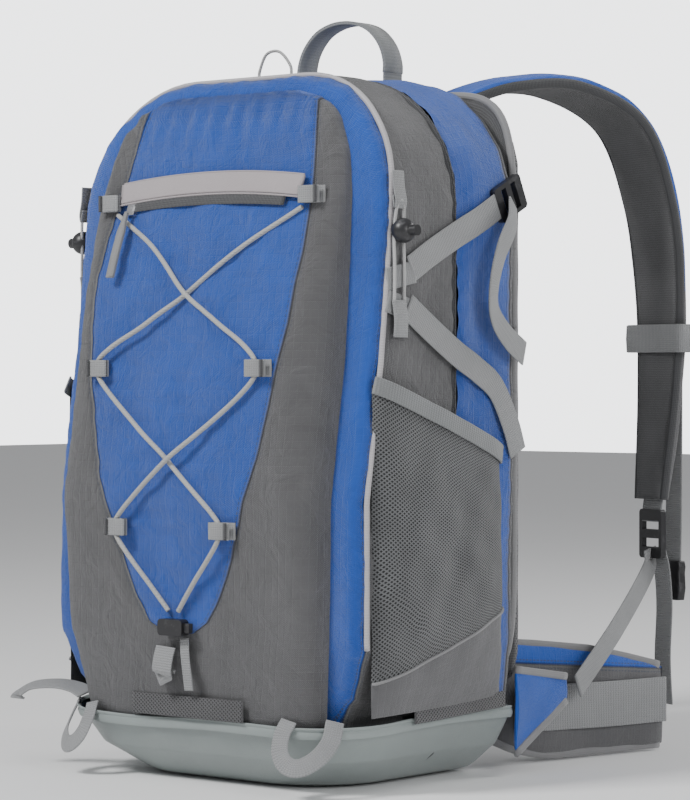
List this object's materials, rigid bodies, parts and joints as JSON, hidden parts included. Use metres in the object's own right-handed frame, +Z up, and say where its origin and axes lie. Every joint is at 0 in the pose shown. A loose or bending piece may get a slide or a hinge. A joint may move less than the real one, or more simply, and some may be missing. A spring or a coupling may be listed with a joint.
{
  "type": "daypack",
  "caption": "Daypack with a laced front pocket, side mesh pockets, compression straps, padded shoulder straps and hip belt wings.",
  "frame": {"origin": "centre of the flat base at the middle of the bag's width, on the ground plane", "axes": "+Z up, -Y out of the front pocket, +Y towards the wearer, +X to the wearer's right"},
  "size_m": [0.347, 0.4928, 0.5734],
  "materials": {
    "blue_fabric": "ripstop weave",
    "grey_fabric": "ripstop weave",
    "coated_fabric": "coated weave",
    "spacer_mesh": "open mesh",
    "webbing": "ribbed webbing",
    "cord": "braided cord",
    "piping": "smooth piping",
    "zip_tape": "zip tape and coil",
    "black_plastic": "moulded",
    "stiffener": "sheet",
    "zip_metal": "polished"
  },
  "bodies": {
    "pack": {"main_shell": "blue_fabric", "front_lid": "grey_fabric", "main_zip": "zip_tape", "front_pocket": "blue_fabric", "base_boot": "coated_fabric", "piping": "piping", "frame_sheet": "stiffener", "back_board": "grey_fabric", "back_pads": "spacer_mesh", "water_sleeve": "grey_fabric", "side_pocket_right": "spacer_mesh", "side_pocket_left": "spacer_mesh", "pocket_bindings": "webbing", "front_zip": "zip_tape", "zip_flap": "webbing", "bungee_loops": "webbing", "side_tabs": "webbing", "compression_straps": "webbing", "strap_buckles": "black_plastic", "wing_stabilisers": "blue_fabric", "ice_axe_loops": "webbing", "strap_anchors": "blue_fabric", "haul_loop_feet": "webbing", "front_lace_right": "cord", "front_lace_left": "cord", "front_lock": "black_plastic", "cord_tabs": "webbing", "side_cord_right": "cord", "side_cord_left": "cord"},
    "haul_loop": {"haul_loop": "webbing"},
    "main_slider_right": {"main_slider_right": "zip_metal"},
    "main_slider_left": {"main_slider_left": "zip_metal"},
    "zip_loop_right": {"zip_loop_right": "cord"},
    "zip_tab_left": {"zip_tab_left": "webbing"},
    "front_slider": {"front_slider": "zip_metal"},
    "front_puller": {"front_puller": "webbing"},
    "front_lock_button": {"front_lock_button": "black_plastic"},
    "strap_right": {"shoulder_strap_right": "blue_fabric", "strap_lining_right": "spacer_mesh", "lower_webbing_right": "webbing"},
    "ladder_lock_right": {"ladder_lock_right": "black_plastic"},
    "sternum_slider_right": {"sternum_slider_right": "webbing"},
    "sternum_strap_right": {"sternum_strap_right": "webbing"},
    "hip_wing_right": {"hip_wing_right": "grey_fabric", "hip_webbing_right": "webbing"},
    "hip_buckle_right": {"hip_buckle_right": "black_plastic"},
    "side_lock_right": {"side_lock_right": "black_plastic"},
    "side_lock_button_right": {"side_lock_button_right": "black_plastic"},
    "strap_left": {"shoulder_strap_left": "blue_fabric", "strap_lining_left": "spacer_mesh", "lower_webbing_left": "webbing"},
    "ladder_lock_left": {"ladder_lock_left": "black_plastic"},
    "sternum_slider_left": {"sternum_slider_left": "webbing"},
    "sternum_strap_left": {"sternum_strap_left": "webbing"},
    "hip_wing_left": {"hip_wing_left": "grey_fabric", "hip_webbing_left": "webbing"},
    "hip_buckle_left": {"hip_buckle_left": "black_plastic"},
    "side_lock_left": {"side_lock_left": "black_plastic"},
    "side_lock_button_left": {"side_lock_button_left": "black_plastic"}
  },
  "joints": [
    {"name": "haul_loop_tilt", "type": "hinge", "parent": "pack", "child": "haul_loop", "pos_m": [0, 0.088, 0.5263], "axis": [1, 0, 0], "range_deg": [-35, 35]},
    {"name": "main_slider_right_travel", "type": "slide", "parent": "pack", "child": "main_slider_right", "axis": [1, 0, 0], "range_m": [0, 0.055]},
    {"name": "main_slider_left_travel", "type": "slide", "parent": "pack", "child": "main_slider_left", "axis": [1, 0, 0], "range_m": [0, 0.026]},
    {"name": "zip_loop_right_lift", "type": "hinge", "parent": "main_slider_right", "child": "zip_loop_right", "pos_m": [-0.008, 0.028, 0.5265], "axis": [0, 1, 0], "range_deg": [0, 60]},
    {"name": "zip_tab_left_lift", "type": "hinge", "parent": "main_slider_left", "child": "zip_tab_left", "pos_m": [-0.0555, 0.028, 0.5258], "axis": [0, 1, 0], "range_deg": [0, 90]},
    {"name": "front_slider_travel", "type": "slide", "parent": "pack", "child": "front_slider", "axis": [1, 0, 0], "range_m": [0, 0.14]},
    {"name": "front_puller_swing", "type": "hinge", "parent": "front_slider", "child": "front_puller", "pos_m": [-0.078, -0.0789, 0.42433], "axis": [0, -0.9381, 0.3464], "range_deg": [-25, 25]},
    {"name": "front_lock_press", "type": "slide", "parent": "pack", "child": "front_lock_button", "axis": [-1, 0, 0], "range_m": [0, 0.004], "stiffness_N_per_m": 300},
    {"name": "strap_right_swing", "type": "hinge", "parent": "pack", "child": "strap_right", "pos_m": [0.048, 0.1192, 0.507], "axis": [-0.2146, -0.144, 0.966], "range_deg": [-12, 2]},
    {"name": "ladder_lock_right_tilt", "type": "hinge", "parent": "strap_right", "child": "ladder_lock_right", "pos_m": [0.11112, 0.33933, 0.188], "axis": [0.9613, -0.2756, 0], "range_deg": [0, 25]},
    {"name": "sternum_slider_right_travel", "type": "slide", "parent": "strap_right", "child": "sternum_slider_right", "axis": [0, 0, 1], "range_m": [-0.006, 0.006]},
    {"name": "sternum_strap_right_swing", "type": "hinge", "parent": "sternum_slider_right", "child": "sternum_strap_right", "pos_m": [0.11746, 0.36144, 0.329], "axis": [0.9613, -0.2756, 0], "range_deg": [0, 60]},
    {"name": "hip_wing_right_swing", "type": "hinge", "parent": "pack", "child": "hip_wing_right", "pos_m": [0.104, 0.1222, 0.05], "axis": [0, 0, 1], "range_deg": [-1, 30]},
    {"name": "hip_buckle_right_swing", "type": "hinge", "parent": "hip_wing_right", "child": "hip_buckle_right", "pos_m": [0.13458, 0.3079, 0.04], "axis": [0, 0, 1], "range_deg": [-105, 0]},
    {"name": "side_lock_right_travel", "type": "slide", "parent": "pack", "child": "side_lock_right", "axis": [0, 0, 1], "range_m": [-0.015, 0.003]},
    {"name": "side_lock_right_press", "type": "slide", "parent": "side_lock_right", "child": "side_lock_button_right", "axis": [-1, 0, 0], "range_m": [0, 0.004], "stiffness_N_per_m": 300},
    {"name": "strap_left_swing", "type": "hinge", "parent": "pack", "child": "strap_left", "pos_m": [-0.048, 0.1192, 0.507], "axis": [0.2146, -0.144, 0.966], "range_deg": [-2, 12]},
    {"name": "ladder_lock_left_tilt", "type": "hinge", "parent": "strap_left", "child": "ladder_lock_left", "pos_m": [-0.11112, 0.33933, 0.188], "axis": [0.9613, 0.2756, 0], "range_deg": [0, 25]},
    {"name": "sternum_slider_left_travel", "type": "slide", "parent": "strap_left", "child": "sternum_slider_left", "axis": [0, 0, 1], "range_m": [-0.006, 0.006]},
    {"name": "sternum_strap_left_swing", "type": "hinge", "parent": "sternum_slider_left", "child": "sternum_strap_left", "pos_m": [-0.11746, 0.36144, 0.329], "axis": [0.9613, 0.2756, 0], "range_deg": [0, 60]},
    {"name": "hip_wing_left_swing", "type": "hinge", "parent": "pack", "child": "hip_wing_left", "pos_m": [-0.104, 0.1222, 0.05], "axis": [0, 0, 1], "range_deg": [-30, 1]},
    {"name": "hip_buckle_left_swing", "type": "hinge", "parent": "hip_wing_left", "child": "hip_buckle_left", "pos_m": [-0.13458, 0.3079, 0.04], "axis": [0, 0, 1], "range_deg": [0, 105]},
    {"name": "side_lock_left_travel", "type": "slide", "parent": "pack", "child": "side_lock_left", "axis": [0, 0, 1], "range_m": [-0.015, 0.003]},
    {"name": "side_lock_left_press", "type": "slide", "parent": "side_lock_left", "child": "side_lock_button_left", "axis": [1, 0, 0], "range_m": [0, 0.004], "stiffness_N_per_m": 300}
  ]
}
